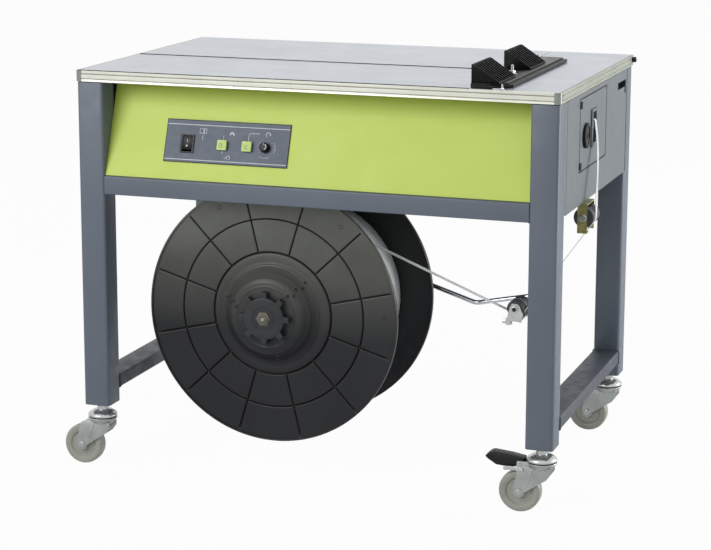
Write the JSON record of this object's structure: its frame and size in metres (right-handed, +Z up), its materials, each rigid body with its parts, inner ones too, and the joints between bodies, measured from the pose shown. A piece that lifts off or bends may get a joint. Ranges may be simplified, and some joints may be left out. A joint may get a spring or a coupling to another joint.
{
  "type": "semi automatic strapping machine",
  "caption": "Wheeled steel table with a strapping head in its top, a sloped control panel, and a strap reel below that feeds over a slack arm and rollers to an inlet.",
  "frame": {"origin": "on the floor, under the middle of the machine's whole box", "axes": "+Z up; +X along the table's long side, towards the strapping head; +Y from the operator's side to the back"},
  "size_m": [0.9634, 0.58, 0.7831],
  "materials": {
    "frame_paint": "satin blue-grey powder coat",
    "cover_paint": "satin light grey powder coat",
    "stainless": "brushed stainless",
    "green_paint": "satin lime green powder coat",
    "zinc": "bright zinc plate",
    "yellow_zinc": "yellow passivated zinc",
    "steel": "ground steel",
    "black_plastic": "matte moulded",
    "black_paint": "satin black",
    "reel_plastic": "moulded, slightly worn sheen",
    "strap_plastic": "smooth polypropylene",
    "wheel_plastic": "smooth, slightly translucent",
    "button_plastic": "gloss moulded",
    "plate_grey": "matte with white marks",
    "cast_grey": "painted casting"
  },
  "bodies": {
    "frame": {"leg_front_left": "frame_paint", "leg_front_right": "frame_paint", "leg_rear_left": "frame_paint", "leg_rear_right": "frame_paint", "lower_rail_left": "frame_paint", "lower_rail_right": "frame_paint", "cabinet_rail_front": "frame_paint", "cabinet_rail_rear": "frame_paint", "caster_stem_front_left": "zinc", "caster_stem_front_right": "zinc", "caster_stem_rear_left": "zinc", "caster_stem_rear_right": "zinc", "table_edge_band": "stainless", "top_plate_fixed": "stainless", "top_hinge_rod": "steel", "front_panel": "green_paint", "right_cover": "cover_paint", "left_cover": "cover_paint", "rear_cover": "cover_paint", "floor_pan": "cover_paint", "control_plate": "plate_grey", "head_plate": "black_paint", "package_stop_front": "black_plastic", "package_stop_rear": "black_plastic", "guide_bracket": "yellow_zinc", "reel_hanger": "frame_paint", "reel_axle": "steel", "strap": "strap_plastic", "mechanism_frame": "steel", "drive_motor": "cast_grey", "control_box": "cast_grey"},
    "top_flap": {"top_plate_lifting": "stainless"},
    "rocker": {"power_rocker": "black_plastic"},
    "feed_key": {"feed_button": "button_plastic"},
    "reverse_key": {"reverse_button": "button_plastic"},
    "timer_dial": {"timer_knob": "black_plastic"},
    "hatch": {"hatch_door": "cover_paint", "strap_inlet": "black_plastic"},
    "tension_dial": {"tension_knob": "black_plastic"},
    "outer_roller": {"guide_roller": "black_plastic"},
    "reel": {"reel_flange_front": "reel_plastic", "reel_flange_rear": "reel_plastic", "strap_coil": "strap_plastic", "reel_lock_nut": "reel_plastic"},
    "slack_arm": {"swing_arm": "steel", "roller_bracket": "zinc"},
    "arm_roller": {"swing_roller": "black_plastic"},
    "camshaft": {"cam_shaft": "steel"},
    "press": {"press_head": "steel"},
    "slide": {"slide_plate": "steel"},
    "feed": {"feed_roller": "steel"},
    "brake": {"brake_pedal": "black_plastic"},
    "swivel_front_left": {"caster_fork_front_left": "zinc"},
    "wheel_front_left": {"caster_wheel_front_left": "wheel_plastic"},
    "swivel_front_right": {"caster_fork_front_right": "zinc"},
    "wheel_front_right": {"caster_wheel_front_right": "wheel_plastic"},
    "swivel_rear_left": {"caster_fork_rear_left": "zinc"},
    "wheel_rear_left": {"caster_wheel_rear_left": "wheel_plastic"},
    "swivel_rear_right": {"caster_fork_rear_right": "zinc"},
    "wheel_rear_right": {"caster_wheel_rear_right": "wheel_plastic"}
  },
  "joints": [
    {"name": "caster_swivel_front_left", "type": "hinge", "parent": "frame", "child": "swivel_front_left", "pos_m": [-0.4072, -0.2629, 0.0952], "axis": [0, 0, 1], "continuous": true},
    {"name": "caster_roll_front_left", "type": "hinge", "parent": "swivel_front_left", "child": "wheel_front_left", "pos_m": [-0.4442, -0.2629, 0.0375], "axis": [0, 1, 0], "continuous": true},
    {"name": "caster_swivel_front_right", "type": "hinge", "parent": "frame", "child": "swivel_front_right", "pos_m": [0.4336, -0.2629, 0.0952], "axis": [0, 0, 1], "continuous": true},
    {"name": "caster_roll_front_right", "type": "hinge", "parent": "swivel_front_right", "child": "wheel_front_right", "pos_m": [0.3966, -0.2629, 0.0375], "axis": [0, 1, 0], "continuous": true},
    {"name": "caster_swivel_rear_left", "type": "hinge", "parent": "frame", "child": "swivel_rear_left", "pos_m": [-0.4072, 0.2629, 0.0952], "axis": [0, 0, 1], "continuous": true},
    {"name": "caster_roll_rear_left", "type": "hinge", "parent": "swivel_rear_left", "child": "wheel_rear_left", "pos_m": [-0.3702, 0.2629, 0.0375], "axis": [0, 1, 0], "continuous": true},
    {"name": "caster_swivel_rear_right", "type": "hinge", "parent": "frame", "child": "swivel_rear_right", "pos_m": [0.4336, 0.2629, 0.0952], "axis": [0, 0, 1], "continuous": true},
    {"name": "caster_roll_rear_right", "type": "hinge", "parent": "swivel_rear_right", "child": "wheel_rear_right", "pos_m": [0.3966, 0.2629, 0.0375], "axis": [0, 1, 0], "continuous": true},
    {"name": "brake_press", "type": "hinge", "parent": "swivel_front_right", "child": "brake", "pos_m": [0.3986, -0.2629, 0.0895], "axis": [0, -1, 0], "range_deg": [0, 10]},
    {"name": "top_plate_lift", "type": "hinge", "parent": "frame", "child": "top_flap", "pos_m": [0.0132, 0.2832, 0.7335], "axis": [-1, 0, 0], "range_deg": [0, 100]},
    {"name": "rocker_tilt", "type": "hinge", "parent": "frame", "child": "rocker", "pos_m": [-0.2287, -0.25831, 0.61428], "axis": [1, 0, 0], "range_deg": [0, 16]},
    {"name": "feed_press", "type": "slide", "parent": "frame", "child": "feed_key", "axis": [0, 0.9421, -0.3355], "range_m": [0, 0.002], "stiffness_N_per_m": 150},
    {"name": "reverse_press", "type": "slide", "parent": "frame", "child": "reverse_key", "axis": [0, 0.9421, -0.3355], "range_m": [0, 0.002], "stiffness_N_per_m": 150},
    {"name": "timer_turn", "type": "hinge", "parent": "frame", "child": "timer_dial", "pos_m": [-0.0793, -0.26013, 0.61514], "axis": [0, -0.9421, 0.3355], "range_deg": [-140, 140]},
    {"name": "hatch_swing", "type": "hinge", "parent": "frame", "child": "hatch", "pos_m": [0.4629, -0.143, 0.648], "axis": [0, 0, -1], "range_deg": [0, 110], "deforming": ["strap"]},
    {"name": "tension_turn", "type": "hinge", "parent": "hatch", "child": "tension_dial", "pos_m": [0.4604, -0.1025, 0.6435], "axis": [1, 0, 0], "range_deg": [-150, 150]},
    {"name": "guide_roller_spin", "type": "hinge", "parent": "frame", "child": "outer_roller", "pos_m": [0.4637, -0.092, 0.4996], "axis": [0, 1, 0], "continuous": true},
    {"name": "reel_spin", "type": "hinge", "parent": "frame", "child": "reel", "pos_m": [-0.0812, -0.12, 0.3073], "axis": [0, 1, 0], "continuous": true},
    {"name": "slack_arm_swing", "type": "hinge", "parent": "frame", "child": "slack_arm", "pos_m": [-0.0812, 0.034, 0.39], "axis": [0, -1, 0], "range_deg": [0, 14], "deforming": ["strap"]},
    {"name": "swing_roller_spin", "type": "hinge", "parent": "slack_arm", "child": "arm_roller", "pos_m": [0.3422, -0.092, 0.3245], "axis": [0, 1, 0], "continuous": true},
    {"name": "camshaft_turn", "type": "hinge", "parent": "frame", "child": "camshaft", "pos_m": [0.3332, -0.04, 0.635], "axis": [0, 1, 0], "continuous": true},
    {"name": "press_lift", "type": "slide", "parent": "frame", "child": "press", "axis": [0, 0, 1], "range_m": [0, 0.008]},
    {"name": "slide_plate_travel", "type": "slide", "parent": "frame", "child": "slide", "axis": [1, 0, 0], "range_m": [0, 0.012]},
    {"name": "feed_roller_spin", "type": "hinge", "parent": "frame", "child": "feed", "pos_m": [0.4154, -0.042, 0.6421], "axis": [0, 1, 0], "continuous": true}
  ]
}
